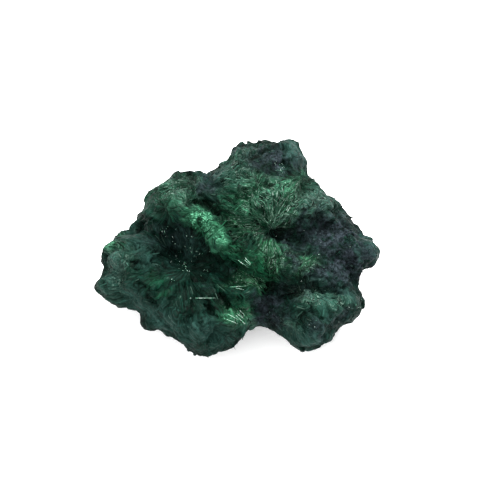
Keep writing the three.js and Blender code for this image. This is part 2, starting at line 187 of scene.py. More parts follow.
DUSK_PATCHES = [
    ((17.0, 3.0), (10.0, 4.6), -8, 0.95),
    ((21.4, -2.6), (5.0, 5.0), 0, 1.0),
    ((17.6, -5.4), (6.5, 2.4), -10, 0.8),
    ((10.6, -8.0), (7.6, 1.8), -3, 0.5),
    ((5.2, -12.2), (3.2, 4.4), -8, 1.0),
    ((9.0, 1.8), (3.0, 1.5), 20, 0.7),
    ((6.4, 17.2), (5.4, 2.8), -10, 0.9),
    ((-6.6, 12.2), (2.0, 3.6), -12, 0.7),
    ((-15.0, 2.4), (7.0, 3.6), -24, 0.35),
    ((-3.0, 21.0), (4.0, 1.6), 10, 0.7),
    ((9.4, -2.4), (1.3, 2.0), 10, 0.9),
    ((19.2, -13.6), (3.0, 1.5), 30, 0.6),
    ((14.4, -15.0), (1.3, 3.2), 25, 0.5),
]
PAINTED_SHEEN_PATCHES = [
    ((5.6, 9.0), (6.5, 4.5), 0, 0.9),
    ((-2.4, 5.4), (4.0, 1.6), -55, 0.2),
    ((-24.6, -4.6), (2.8, 4.6), 0, 0.3),
    ((1.0, 4.4), (4.0, 2.0), -15, 0.8),
    ((0.0, 15.0), (4.5, 4.5), 0, 0.4),
    ((12.0, 9.0), (6.0, 3.0), 0, 0.4),
    ((-14.0, 12.0), (5.0, 3.6), 0, 0.5),
    ((-25.6, 1.0), (1.6, 1.6), 0, 0.6),
    ((0.0, -13.4), (3.0, 1.6), -38, 0.6),
    ((1.2, -6.6), (3.2, 1.3), 0, 1.0),
    ((12.6, -3.2), (2.8, 1.8), 0, 0.8),
    ((5.6, 0.4), (2.4, 0.9), -15, 0.6),
    ((6.4, -3.0), (2.2, 1.2), -20, 0.8),
    ((6.6, -1.0), (3.6, 2.2), 0, 0.35),
    ((13.4, -9.0), (3.4, 1.6), -20, 0.55),
    ((19.0, -10.4), (3.0, 1.6), -40, 0.4),
    ((10.0, -15.6), (2.0, 1.2), -40, 0.4),
]
SMOOTH_PATCHES = [
    ((-13.0, -9.0), (8.0, 5.0), -30, 0.3),
    ((-6.0, -9.0), (5.0, 6.0), 0, 0.2),
]
DUST_PATCHES = [
    ((-25.0, -5.0), (2.6, 5.0), 0, 0.9),
    ((-21.0, -10.0), (5.0, 2.2), -45, 0.8),
    ((-15.0, -14.2), (5.4, 2.4), -35, 0.8),
    ((-7.0, -16.4), (6.0, 3.0), 0, 0.8),
    ((0.6, -15.8), (4.4, 2.0), 15, 0.5),
    ((25.0, 0.0), (3.0, 3.6), 0, 0.8),
    ((-15.4, 11.4), (5.4, 4.2), -15, 0.4),
    ((-2.2, 15.4), (4.6, 5.4), 0, 0.55),
    ((14.0, 9.4), (6.4, 2.8), 12, 0.5),
    ((5.0, 9.6), (5.0, 3.6), 20, 0.6),
    ((1.0, 6.6), (4.4, 2.4), -20, 0.35),
    ((12.0, -17.2), (5.0, 3.0), 0, 0.8),
    ((17.6, -10.4), (5.6, 4.4), 0, 0.7),
    ((-18.4, -2.0), (2.6, 2.2), 0, 0.6),
    ((-22.0, 1.4), (3.6, 2.2), 0, 0.6),
    ((-18.0, 8.0), (3.6, 3.4), 0, 0.6),
    ((-12.0, 0.6), (5.0, 3.0), -20, 0.3),
    ((11.4, 20.6), (2.6, 2.4), 0, 0.9),
    ((14.6, 16.4), (2.2, 4.0), 15, 0.8),
    ((13.6, 3.6), (2.2, 2.6), 0, 0.6),
]

OVAL_EDGE = 1.3  # the higher it is, the sharper is the edge of a patch


def smoothstep(values, low, high):
    """Goes smoothly from 0 where the values are low to 1 where they are high."""
    share = np.clip((values - low) / (high - low), 0, 1)
    return share * share * (3 - 2 * share)


def noise_at(places, scale, shift):
    """Perlin noise at each of the places, with so many waves to a millimetre, and apart from other shifts."""
    return np.array([noise.noise(Vector(place)) for place in places * scale + shift])


def patches(ovals, across, up):
    """How strongly each point lies in any of the ovals, from 0 to 1."""
    most = np.zeros(len(across))
    for (middle_across, middle_up), (long, short), turn, strength in ovals:
        angle = math.radians(turn)
        dx, dy = across - middle_across, up - middle_up
        along = (dx * math.cos(angle) + dy * math.sin(angle)) / long
        aside = (dy * math.cos(angle) - dx * math.sin(angle)) / short
        most = np.maximum(most, strength * np.exp(-((along**2 + aside**2) ** OVAL_EDGE)))
    return most


def off_line(line, across, up):
    """Distance of each point from a line on the face, positive to the left of the way the line runs."""
    nearest = np.full(len(across), np.inf)
    signed = np.zeros(len(across))
    for (ax, ay), (bx, by) in zip(line, line[1:]):
        length = math.hypot(bx - ax, by - ay)
        along = ((across - ax) * (bx - ax) + (up - ay) * (by - ay)) / length
        off = ((up - ay) * (bx - ax) - (across - ax) * (by - ay)) / length
        past = np.maximum(np.maximum(-along, along - length), 0)
        away = np.hypot(off, past)
        closer = away < nearest
        nearest[closer] = away[closer]
        signed[closer] = (np.sign(off) * away)[closer]
    return signed


# The solid is cut finer where it is shown, its facets are smoothed away, and two thin points are worn down
SHORT_EDGE = 0.7  # edges of the solid up to this long stay whole
SHOWN_CUTS, HIDDEN_CUTS = 5, 2  # how often a longer edge is cut
SHOWN_COSINE = 0.2  # a face is shown if its angle to the line of sight has a larger cosine
CONTACT_HEIGHT = 0.3  # what lies lower touches the table, and stays
SMOOTHINGS = (0.5, -0.52, 0.5, -0.52, 0.5)  # how far each pass moves a point to the middle of its neighbours
FOOT_HEIGHT = 2.5
FOOT_SMOOTHINGS = (0.5,) * 8  # passes that round the foot, up to its height, and move nothing up or down
# Where a thin point of the solid is, how far around it the stone is worn, and where the point moves to
WORN_CORNERS = [
    {"place": Vector((18.0, -22.2, 7.0)), "reach": 2.8, "move": Vector((-0.8, 1.8, 0.9))},
    {"place": Vector((3.7, 0.3, 25.0)), "reach": 1.1, "move": Vector((0.0, 0.2, -1.3))},
]
body = bmesh.new()
body.from_mesh(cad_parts["malachite"].data)
bmesh.ops.remove_doubles(body, verts=body.verts, dist=0.001 * MM)
body.normal_update()
sight = Vector(FACE_AXES[2])
for is_shown, cuts in ((True, SHOWN_CUTS), (False, HIDDEN_CUTS)):
    edges = [
        edge for edge in body.edges
        if edge.calc_length() > SHORT_EDGE * MM
        and is_shown == all(face.normal.dot(sight) > SHOWN_COSINE for face in edge.link_faces)
    ]
    bmesh.ops.subdivide_edges(body, edges=edges, cuts=cuts, use_grid_fill=True)
bmesh.ops.triangulate(body, faces=body.faces)
above_table = [vert for vert in body.verts if vert.co.z > CONTACT_HEIGHT * MM]
for factor in SMOOTHINGS:
    bmesh.ops.smooth_vert(
        body, verts=above_table, factor=factor, use_axis_x=True, use_axis_y=True, use_axis_z=True
    )
feet = [vert for vert in body.verts if vert.co.z < FOOT_HEIGHT * MM]
for factor in FOOT_SMOOTHINGS:
    bmesh.ops.smooth_vert(body, verts=feet, factor=factor, use_axis_x=True, use_axis_y=True)
for corner in WORN_CORNERS:
    for vert in body.verts:
        near = math.exp(-(((vert.co / MM - corner["place"]).length / corner["reach"]) ** 2))
        vert.co += corner["move"] * MM * near
body.normal_update()
body_tree = BVHTree.FromBMesh(body)

# Where each point lies, and which patches it is in. The photo doesn't show the sides that face away, and they
# have broad blotches of dusk and of dust.
SHOWN_RANGE = (-0.1, 0.4)  # cosines of the angle to the line of sight: hidden below, shown above
SLOW_WAVES, QUICK_WAVES, BLOTCH_WAVES = 0.22, 0.75, 0.13  # to a millimetre
PATCH_WANDER, PATCH_FRAY = 1.6, 1.1  # how far the edges of patches stray, in slow waves and in quick ones
BLOTCH_DUSK, BLOTCH_DUST = 0.8, 0.7  # at most
places = np.array([vert.co for vert in body.verts]) / MM
normals = np.array([vert.normal for vert in body.verts])
across, up, _ = ((places - FACE_ORIGIN) @ FACE_AXES.T).T
shown = smoothstep(normals @ FACE_AXES[2], *SHOWN_RANGE)
wander = np.stack([noise_at(places, SLOW_WAVES, shift) for shift in (0.0, 31.0, 67.0)], 1)
ragged = np.stack([noise_at(places, QUICK_WAVES, shift) for shift in (5.0, 41.0)], 1)
strayed_across = across + PATCH_WANDER * wander[:, 0] + PATCH_FRAY * ragged[:, 0]
strayed_up = up + PATCH_WANDER * wander[:, 1] + PATCH_FRAY * ragged[:, 1]
emerald, mint, pale, dusk, dust, smooth = (
    shown * patches(ovals, strayed_across, strayed_up)
    for ovals in (EMERALD_PATCHES, MINT_PATCHES, PAINTED_SHEEN_PATCHES, DUSK_PATCHES, DUST_PATCHES, SMOOTH_PATCHES)
)
mint *= 0.6 + 0.6 * smoothstep(noise_at(places, 0.6, 71.0), -0.2, 0.25)
blotches = noise_at(places, BLOTCH_WAVES, 11.0)
dusk = np.maximum(dusk, (1 - shown) * smoothstep(blotches, 0.0, 0.35) * BLOTCH_DUSK)
dust = np.maximum(dust, (1 - shown) * smoothstep(-blotches, 0.0, 0.4) * BLOTCH_DUST)
smooth = np.maximum(np.maximum(dust - pale, 0), smooth)

SIGHT_START = 80.0  # how far out of the face a line of sight is followed from


def surface_at(across_mm, up_mm):
    """Where the line of sight through a point of the face meets the clump, and the normal there."""
    start = FACE_ORIGIN + np.array([across_mm, up_mm, SIGHT_START]) @ FACE_AXES
    place, normal, _, _ = body_tree.ray_cast(Vector(start * MM), Vector(-FACE_AXES[2]))
    return (np.array(place) / MM, np.array(normal)) if place else None


# Each point belongs to the spray whose heart is nearest for its reach, and its fibres run away from that
# heart: nearly straight, but all ways close to the heart itself
SEAM_WANDER = 1.6  # how far the seams between the sprays wander
OWN_PATCH = 0.3  # how strongly a point lies in a spray's own patch to belong to it
FIBRE_TURN = 0.15  # how far fibres turn to and fro, in radians
HEART_RADIUS, HEART_TURN = 2.8, 2.4  # how far out they are muddled, and how far they turn there
hearts, reaches, needles, lifts = [], [], [], []
for spray in SPRAYS.values():
    place, normal = surface_at(*spray["heart"])
    hearts.append(place - spray["sink"] * (0.5 * normal + 0.5 * FACE_AXES[2]))
    reaches.append(spray["reach"])
    needles.append(spray["needle"])
    lifts.append(spray["lift"])
nearest = (np.linalg.norm(places[:, None] - np.array(hearts), axis=2) / np.array(reaches)).min(1)
free = (nearest > WILD_SPRAYS["clear"]) | ((dusk > 0.6) & (nearest > WILD_SPRAYS["clear_in_crust"]))
draws = np.random.default_rng(7)
for index in draws.permutation(np.flatnonzero(free))[: WILD_SPRAYS["count"]]:
    hearts.append(places[index] - WILD_SPRAYS["sink"] * normals[index])
    reaches.append(WILD_SPRAYS["reach"] * draws.uniform(*WILD_SPRAYS["reach_varies"]))
    needles.append(WILD_SPRAYS["needle"])
    lifts.append(WILD_SPRAYS["lift"])
hearts, reaches = np.array(hearts), np.array(reaches)

scores = np.linalg.norm((places + SEAM_WANDER * wander)[:, None] - hearts, axis=2) / reaches
owner = np.argmin(scores, axis=1)
for number, spray in enumerate(SPRAYS.values()):
    if "patches" in spray:
        inside = patches(spray["patches"], strayed_across, strayed_up) * (shown > 0.02)
        owner[inside > OWN_PATCH] = number
radial = places - hearts[owner]
fibre = radial - normals * np.sum(radial * normals, 1)[:, None]
fibre /= np.linalg.norm(fibre, axis=1)[:, None] + 1e-6
side = np.cross(normals, fibre)
muddle = np.exp(-((np.linalg.norm(radial, axis=1) / HEART_RADIUS) ** 2))
turned = FIBRE_TURN * noise_at(places, 0.3, 47.0) + HEART_TURN * muddle * noise_at(places, 0.45, 53.0)
fibre = fibre * np.cos(turned)[:, None] + side * np.sin(turned)[:, None]
side = np.cross(normals, fibre)

RIDGE_WANDER, RIDGE_FRAY = 0.6, 0.7  # the same for broken edges
RIDGE_STEEP = 0.3  # how far to each side of a broken edge its sheer fall reaches
ridge_across = across + RIDGE_FRAY * ragged[:, 0] + RIDGE_WANDER * wander[:, 0]
ridge_up = up + RIDGE_FRAY * ragged[:, 1] + RIDGE_WANDER * wander[:, 1]
scarps = np.zeros(len(places))
for scarp in SCARPS.values():
    off = off_line(scarp["line"], ridge_across, ridge_up)
    step = (scarp["rise"] + scarp["drop"]) * smoothstep(off, -RIDGE_STEEP, RIDGE_STEEP) - scarp["drop"]
    scarps += shown * np.exp(-np.abs(off) / scarp["reach"]) * step

# Needles are shorter in crust, among the mint tips, where they stand up, and on steep and hanging sides. Each
# ends inside the solid's box and its margin, and headroom is what the stone has there.
BOX_MARGIN = 0.3  # how far the stone, and then a needle on it, may stand out of the solid's box
LOWEST_TIP = 0.4  # how high above the table a needle ends
MOST_ROOM = 9.0
LEAST_SLOPE = 0.05  # a flatter one counts as this, and nothing is divided by 0
CRUST_SHORTENS, MINT_SHORTENS, MINT_LIFTS = 0.5, 0.5, 0.5
stature = np.array(needles)[owner] * (1 - CRUST_SHORTENS * dusk) * (1 - MINT_SHORTENS * mint)
lift = np.array(lifts)[owner] + MINT_LIFTS * mint
facing = np.abs(normals @ FACE_AXES[2])
stature *= (0.3 + 0.7 * smoothstep(facing, 0.3, 0.8)) * (0.25 + 0.75 * smoothstep(normals[:, 2], -0.5, 0.1))
box_low, box_high = np.array(cad_low) / MM - BOX_MARGIN, np.array(cad_high) / MM + BOX_MARGIN
box_low[2] = LOWEST_TIP
headroom = np.full(len(places), MOST_ROOM)
for axis in range(3):
    aims = ((stature, fibre[:, axis] + lift * normals[:, axis]), (headroom, normals[:, axis]))
    for limits, slope in aims:
        room = np.where(slope > 0, box_high[axis] - places[:, axis], places[:, axis] - box_low[axis])
        np.minimum(limits, np.maximum(room, 0) / np.maximum(np.abs(slope), LEAST_SLOPE), out=limits)

# How crowded the needles are, from 0 to 1. Each range runs from none of them to all: by their length, the
# room above and below, how far the surface faces the photo, and how high it lies in a crack.
LENGTH_RANGE, TOP_RANGE, FOOT_RANGE = (0.25, 0.6), (1.3, 2.3), (0.6, 2.0)
FACING_RANGE, CRACK_RANGE = (0.4, 0.75), (-0.9, -0.4)
CRUST_THINS, MINT_THINS, SMOOTH_THINS, TUFTS_THIN = 0.8, 0.8, 0.7, 0.7
crowd = (
    smoothstep(stature, *LENGTH_RANGE) * smoothstep(box_high[2] - places[:, 2], *TOP_RANGE)
    * smoothstep(places[:, 2], *FOOT_RANGE) * (1 - CRUST_THINS * smoothstep(dusk, 0.3, 0.6))
)
crowd *= (1 - MINT_THINS * mint) * smoothstep(facing, *FACING_RANGE) * smoothstep(scarps, *CRACK_RANGE)
tufts = smoothstep(noise_at(places, 0.33, 23.0), -0.2, 0.2)
crowd *= (1 - SMOOTH_THINS * smooth) * (0.3 + TUFTS_THIN * tufts)

# How much of its relief the stone has: little near the table, where headroom runs out and on the hidden sides
RELIEF_HEIGHTS, RELIEF_ROOM = (0.1, 3.4), (-0.2, 1.5)
HIDDEN_RELIEF = 0.35
rooted = (
    smoothstep(places[:, 2], *RELIEF_HEIGHTS) * smoothstep(headroom, *RELIEF_ROOM)
    * (HIDDEN_RELIEF + (1 - HIDDEN_RELIEF) * shown)
)


def mesh_of(form, name):
    """The mesh of a form that is finished with."""
    mesh = bpy.data.meshes.new(name)
    form.to_mesh(mesh)
    form.free()
    return mesh


# The mesh keeps these for its points, for its nodes and its finish to read
base_mesh = mesh_of(body, "malachite_base")
for name, values in {
    "place": places, "fibre": fibre, "side": side, "outward": normals, "emerald": emerald, "mint": mint,
    "pale": pale, "dusk": dusk, "dust": dust, "stature": stature, "lift": lift, "crowd": crowd,
    "rooted": rooted, "scarps": scarps, "smooth": smooth,
}.items():
    kind, field = ("FLOAT_VECTOR", "vector") if np.ndim(values) == 2 else ("FLOAT", "value")
    attribute = base_mesh.attributes.new(name, kind, "POINT")
    attribute.data.foreach_set(field, np.asarray(values, np.float32).ravel())


class Socket:
    """An output of a node, which adds Math nodes to its tree when it is used in an expression."""

    def __init__(self, tree, link):
        self.tree = tree
        self.link = link

    def math(self, operation, *values):
        return self.tree.node("ShaderNodeMath", {"operation": operation}, dict(enumerate(values)))

    def __add__(self, other):
        return self.math("ADD", self, other)

    def __sub__(self, other):
        return self.math("SUBTRACT", self, other)

    def __rsub__(self, other):
        return self.math("SUBTRACT", other, self)

    def __mul__(self, other):
        return self.math("MULTIPLY", self, other)

    def __pow__(self, other):
        return self.math("POWER", self, other)

    def between(self, low, high):
        """Goes smoothly from 0 where this is low to 1 where it is high."""
        inputs = {"Value": self, "From Min": low, "From Max": high}
        return self.tree.node("ShaderNodeMapRange", {"interpolation_type": "SMOOTHSTEP"}, inputs)

    __radd__ = __add__
    __rmul__ = __mul__


class Tree:
    """A tree of nodes, for a material or for Geometry Nodes, that is filled through one method."""

    def __init__(self, tree):
        self.tree = tree
        tree.nodes.clear()

    def node(self, kind, settings=None, inputs=None, output=0):
        """Adds a node and gives its output, or several. An input takes a value, a socket or a few sockets."""
        made = self.tree.nodes.new(kind)
        for name, value in (settings or {}).items():
            setattr(made, name, value)
        for name, value in (inputs or {}).items():
            links = value if isinstance(value, tuple) else (value,)
            if isinstance(links[0], Socket):
                for socket in links:
                    self.tree.links.new(socket.link, made.inputs[name])
            else:
                made.inputs[name].default_value = value
        if isinstance(output, tuple):
            return [Socket(self, made.outputs[one]) for one in output]
        return Socket(self, made.outputs[output]) if made.outputs else made

    def stored(self, name, vector=False):
        """What the mesh keeps under that name for each point."""
        if self.tree.type == "GEOMETRY":
            kind = {"data_type": "FLOAT_VECTOR" if vector else "FLOAT"}
            return self.node("GeometryNodeInputNamedAttribute", kind, {"Name": name})
        output = "Vector" if vector else "Fac"
        return self.node("ShaderNodeAttribute", {"attribute_name": name}, output=output)

    def vector(self, operation, a, b):
        """Vector a, and b, joined by that operation of a Vector Math node."""
        second = "Scale" if operation == "SCALE" else 1
        output = "Value" if operation == "DOT_PRODUCT" else 0
        return self.node("ShaderNodeVectorMath", {"operation": operation}, {0: a, second: b}, output)

    def blend(self, share, a, b, way="MIX"):
        """Colour a turned into colour b by that share."""
        settings = {"data_type": "RGBA", "blend_type": way}
        return self.node("ShaderNodeMix", settings, {0: share, 6: a, 7: b}, output=2)

    def noise(self, place, scale, detail=2.0, roughness=0.5):
        inputs = {"Vector": place, "Scale": scale, "Detail": detail, "Roughness": roughness}
        return self.node("ShaderNodeTexNoise", {}, inputs)

    def tilted(self, offset, middle):
        """How high a point of a cell is when the cell leans over some way of its own."""
        settings = {"noise_dimensions": "3D"}
        lean = self.node("ShaderNodeTexWhiteNoise", settings, {"Vector": middle}, output="Color")
        return self.vector("DOT_PRODUCT", offset, self.vector("SUBTRACT", lean, (0.5, 0.5, 0.5))) * 2.0

    def cells(self, place, scale):
        """Distance from the middle of the nearest of many cells, its three random numbers, and its middle."""
        distance, random_colour, middle = self.node(
            "ShaderNodeTexVoronoi", {}, {"Vector": place, "Scale": scale},
            output=("Distance", "Color", "Position"),
        )
        randoms = self.node("ShaderNodeSeparateXYZ", {}, {"Vector": random_colour}, output=(0, 1, 2))
        return distance, randoms, middle


# A bunch: how wide it is, how far it may turn from its spray, stand out, lean over and differ in tone
BUNCH = {"size": 4.2, "turn": math.radians(15), "step": 0.3, "tilt": 0.3, "tone": 0.3}
BUNCH_WANDER = 0.35  # how far the seams between the bunches wander
APART = 40.0  # sets the splinters of each bunch apart from those of the next
# The large and small splinters that a bunch is fused from: width, length, height and difference in tone
SPLINTERS = [
    {"wide": 0.8, "long": 5.0, "step": 0.36, "tone": 0.35},
    {"wide": 0.28, "long": 2.0, "step": 0.10, "tone": 0.6},
]


def bunches(tree):
    """The bunches of parallel splinters that a spray is made of.

    Gives the angle between a bunch and its spray's own direction, how bright each splinter is from -1 to 1,
    how high the large and the small splinters stand, and a vector that runs across the bunch and along it
    and differs from bunch to bunch.
    """
    place = tree.stored("place", vector=True)
    waves = {"Vector": place, "Scale": 0.7, "Detail": 1.0}
    stray = tree.node("ShaderNodeTexNoise", {}, waves, output="Color")
    stray = tree.vector("SUBTRACT", stray, (0.5, 0.5, 0.5))
    wandering = tree.vector("ADD", place, tree.vector("SCALE", stray, 2 * BUNCH_WANDER))
    _, randoms, middle = tree.cells(wandering, 1 / BUNCH["size"])
    offset = tree.vector("SUBTRACT", place, middle)
    turn = (randoms[0] - 0.5) * (2 * BUNCH["turn"])
    tone = (randoms[2] - 0.5) * (2 * BUNCH["tone"])
    high = (randoms[1] - 0.5) * (2 * BUNCH["step"]) + tree.tilted(offset, middle) * BUNCH["tilt"]
    straight_across = tree.vector("DOT_PRODUCT", offset, tree.stored("side", vector=True))
    straight_along = tree.vector("DOT_PRODUCT", offset, tree.stored("fibre", vector=True))
    cosine, sine = turn.math("COSINE", turn), turn.math("SINE", turn)
    across_it = straight_across * cosine - straight_along * sine
    along_it = straight_along * cosine + straight_across * sine
    apart = randoms[1] * APART
    heights = []
    for splinter in SPLINTERS:
        axes = {"X": across_it * (1 / splinter["wide"]), "Y": along_it * (1 / splinter["long"]), "Z": apart}
        from_middle, lots, _ = tree.cells(tree.node("ShaderNodeCombineXYZ", {}, axes), 1.0)
        heights.append((lots[0] - from_middle) * splinter["step"])
        tone = tone + (lots[1] - 0.5) * (2 * splinter["tone"])
    run = tree.node("ShaderNodeCombineXYZ", {}, {"X": across_it, "Y": along_it, "Z": apart})
    return turn, tone, high + heights[0], heights[1], run


def geometry(source, name, build):
    """The mesh that an object becomes through Geometry Nodes, which build adds to a tree."""
    group = bpy.data.node_groups.new(name, "GeometryNodeTree")
    group.interface.new_socket("Geometry", in_out="INPUT", socket_type="NodeSocketGeometry")
    group.interface.new_socket("Geometry", in_out="OUTPUT", socket_type="NodeSocketGeometry")
    tree = Tree(group)
    tree.node("NodeGroupOutput", {}, {0: build(tree, tree.node("NodeGroupInput"))})
    bpy.context.scene.collection.objects.link(source)
    source.modifiers.new(name, "NODES").node_group = group
    mesh = bpy.data.meshes.new_from_object(source.evaluated_get(bpy.context.evaluated_depsgraph_get()))
    bpy.data.objects.remove(source)
    return mesh


CRAG = {"waves": 0.36, "detail": 3.0, "height": 0.6}  # waves: to a millimetre
# Lumps of the crust: how wide they are, how high their tops are, how steeply they fall, and the scale of both
KNOB = {"size": 3.2, "top": 0.42, "fall": 0.8, "height": 1.3}
NODULE = {"size": 1.45, "top": 0.5, "fall": 1.1, "height": 0.75}
GRAIN = {"size": 0.8, "top": 0.5, "fall": 1.0, "height": 0.35}
INSET = 0.02  # how far all of the stone is set in
SPIKE_HEIGHT = 0.25  # how far a point of the stone may stand out of the stone around it
SPIKE_ROUNDS = 3  # how many rounds of neighbours are the stone around it


def roughen(tree, smooth_clump):
    """Moves the clump's surface in and out, and keeps how high each point ends up as its relief."""
    place = tree.stored("place", vector=True)
    dusk, mint = tree.stored("dusk"), tree.stored("mint")
    _, _, high, _, _ = bunches(tree)
    wave = tree.noise(place, CRAG["waves"], CRAG["detail"]) - 0.5
    crags = 0.22 - wave.math("ABSOLUTE", wave) * 2.0
    knobs, nodules, grains = (
        lump["top"] - tree.cells(place, 1 / lump["size"])[0] * lump["fall"] for lump in (KNOB, NODULE, GRAIN)
    )
    fibrous = (1 - dusk.between(0.2, 0.7)) * (1 - mint * 0.6) * (1 - tree.stored("smooth") * 0.6)
    lumpy = dusk.between(0.1, 0.6)
    relief = tree.stored("rooted") * (
        fibrous * high + crags * (lumpy * 0.7 + 1) * CRAG["height"]
        + lumpy * (nodules * NODULE["height"] + knobs * KNOB["height"])
        + (dusk * 0.5 + mint) * grains * GRAIN["height"] + tree.stored("scarps") - INSET
    )
    around = tree.node(
        "GeometryNodeBlurAttribute", {"data_type": "FLOAT"},
        {"Value": relief, "Iterations": SPIKE_ROUNDS, "Weight": 1.0},
    )
    blunted = relief.math("MINIMUM", relief, around + SPIKE_HEIGHT)
    marked = tree.node(
        "GeometryNodeStoreNamedAttribute", {"data_type": "FLOAT", "domain": "POINT"},
        {"Geometry": smooth_clump, "Name": "relief", "Value": blunted},
    )
    offset = tree.vector("SCALE", tree.stored("outward", vector=True), tree.stored("relief") * MM)
    return tree.node("GeometryNodeSetPosition", {}, {"Geometry": marked, "Offset": offset})


def colour(code):
    """A colour as a node takes it, from the hexadecimal code that a paint program shows."""
    parts = [int(code[n : n + 2], 16) / 255 for n in (0, 2, 4)]
    return [x / 12.92 if x < 0.04045 else ((x + 0.055) / 1.055) ** 2.4 for x in parts] + [1.0]


DEEP_GREEN = colour("041812")
EMERALD = colour("0c3c25")
MINT = colour("3b6c53")
# Painted sheen: a paler green that stands in for the silky light off the fibres
PAINTED_SHEEN_GREEN = colour("25462f")
DUSK = colour("282e34")
DUST = colour("25403b")
# Painted highlight: a near-white silvery green for light glinting off needles, grains and flecks
PAINTED_GLEAM_SILVER = colour("8fab9c")
SHADED_TINT = (0.5, 1.0, 0.82, 1.0)  # the darker the mineral is, the purer its green


def mineral_colour(tree, shade):
    """Deep green turning emerald, mint, dusty or dusky from patch to patch, or paler as painted sheen, times
    the shade.
    """
    green = tree.blend(tree.stored("emerald"), DEEP_GREEN, EMERALD)
    minty = tree.blend(tree.stored("mint"), green, MINT)
    # Painted sheen: paler green where the sheen patches lie, for the light off the fibres
    silky = tree.blend(tree.stored("pale") * 0.7, minty, PAINTED_SHEEN_GREEN)
    dusty = tree.blend(tree.stored("dust") * 0.7, silky, DUST)
    # Dusk lies in blotches, with green between them
    mottle = tree.noise(tree.stored("place", vector=True), 0.55, 3.0, 0.6).between(0.38, 0.56)
    dusky = tree.blend(tree.stored("dusk") * (mottle * 0.75 + 0.15), dusty, DUSK)
    clear = (1 - shade.between(0.2, 1.5)) * (1 - tree.stored("dusk") * 0.8) * (1 - tree.stored("dust") * 0.5)
    return tree.blend(clear, tree.vector("SCALE", dusky, shade), SHADED_TINT, way="MULTIPLY")


def finish(name, surface):
    """A material with the shader that the surface function adds to its tree."""
    material = bpy.data.materials.new(name)
    material.use_nodes = True
    tree = Tree(material.node_tree)
    tree.node("ShaderNodeOutputMaterial", {}, {"Surface": surface(tree)})
    return material


def stone(tree):
    """Streaked splinters with their own tone, crumbs in the crust, painted shade in hollows and painted sheen
    flecks.
    """
    _, tone, _, low, run = bunches(tree)
    streaks = tree.noise(tree.vector("MULTIPLY", run, (4.5, 0.3, 1.0)), 1.0, 3.0, 0.6)
    place = tree.stored("place", vector=True)
    crumbs = tree.noise(place, 1.3, 4.0, 0.72)
    crumbly = tree.stored("dusk").between(0.2, 0.7) + tree.stored("mint") * 0.7
    grain = streaks * (1 - crumbly) + crumbs * crumbly
    relief = tree.stored("relief")
    # Painted shade: hollows are half as bright, and cracks a third of that
    painted_hollow_shade = (relief.between(-1.2, 0.5) * 0.5 + 0.5) * (relief.between(-1.7, -0.8) * 0.7 + 0.3)
    lively = 1 - tree.stored("smooth") * 0.7 + tree.stored("pale") * 0.3
    shade = ((grain.between(0.3, 0.7) - 0.5) * lively * 1.8 + 1.0) * (tone * lively * 0.75 + 1.0) * painted_hollow_shade
    shaded = mineral_colour(tree, shade)
    # Painted highlights: silvery flecks of sheen along the splinters, strongest where the sheen is painted
    painted_flecks = tree.noise(tree.vector("MULTIPLY", run, (8.0, 1.4, 1.0)), 1.0, 2.0, 0.7)
    silky = tree.stored("pale") * 0.9 + tree.stored("mint") * 0.3 + 0.03
    gleam = painted_flecks.between(0.56, 0.68) * (1 - crumbly * 0.7) * silky
    rise = grain * (crumbly * 0.9 + 0.2) + low * (1 - crumbly) * lively
    bump = tree.node("ShaderNodeBump", {}, {"Strength": 1.0, "Distance": MM, "Height": rise})
    return tree.node("ShaderNodeBsdfPrincipled", {}, {
        "Base Color": tree.blend(gleam, shaded, PAINTED_GLEAM_SILVER), "Roughness": 0.6, "Specular IOR Level": 0.04,
        "Normal": bump,
    })


def add_piece(name, mesh, material):
    """A finished piece of the clump, attached to the root body in the scene."""
    mesh.materials.clear()
    mesh.materials.append(material)
    piece = bpy.data.objects.new(name, mesh)
    bpy.context.scene.collection.objects.link(piece)
    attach(piece, "root")
    return piece


clump_mesh = geometry(bpy.data.objects.new("smooth_clump", base_mesh), "roughen", roughen)
clump_mesh.shade_smooth()
clump = add_piece("clump", clump_mesh, finish("malachite_stone", stone))
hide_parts("malachite")
rough = bmesh.new()
rough.from_mesh(clump_mesh)
body_tree = BVHTree.FromBMesh(rough)
rough.free()

# The needles
# Silky needles a tenth of a millimetre thick, and flat splinters of needles grown together, lie over the
# clump in bunches. They are one mineral with the stone they grow out of, and each region is one joined mesh.
REGIONS = [
    {"name": "rosette_needles", "splinters_per_mm2": 1.5, "needles_per_mm2": 1.0,
     "sprays": ["left rosette", "left shoulder"]},
    {"name": "crest_needles", "splinters_per_mm2": 1.6, "needles_per_mm2": 4.5,
     "sprays": ["far left", "upper left", "crest top", "crest slope", "crest foot", "foot streaks"]},
    {"name": "fan_needles", "splinters_per_mm2": 1.6, "needles_per_mm2": 6.0,
     "sprays": ["upper fan", "top left", "ledge", "top knobs", "middle patch"]},
    {"name": "right_needles", "splinters_per_mm2": 1.2, "needles_per_mm2": 1.5,
     "sprays": ["lower right", "lower right foot", "right tip"]},
    {"name": "wild_needles", "splinters_per_mm2": 1.2, "needles_per_mm2": 1.5, "sprays": None},
]
NEEDLE_THICKNESS = (0.07, 0.12)
SPLINTER_WIDTH = (0.12, 0.30)
SPLINTER_THICKNESS = (0.06, 0.12)
NEEDLE_LENGTH, SPLINTER_LENGTH = (0.25, 0.9), (0.3, 1.0)  # shares of the length in its spray
NEEDLE_LIFT, SPLINTER_LIFT = (0.2, 1.4), (-0.4, 0.8)  # shares of the lift in its spray
STRAY = (-math.radians(6), math.radians(6))  # how far one strays from the rest of its bunch


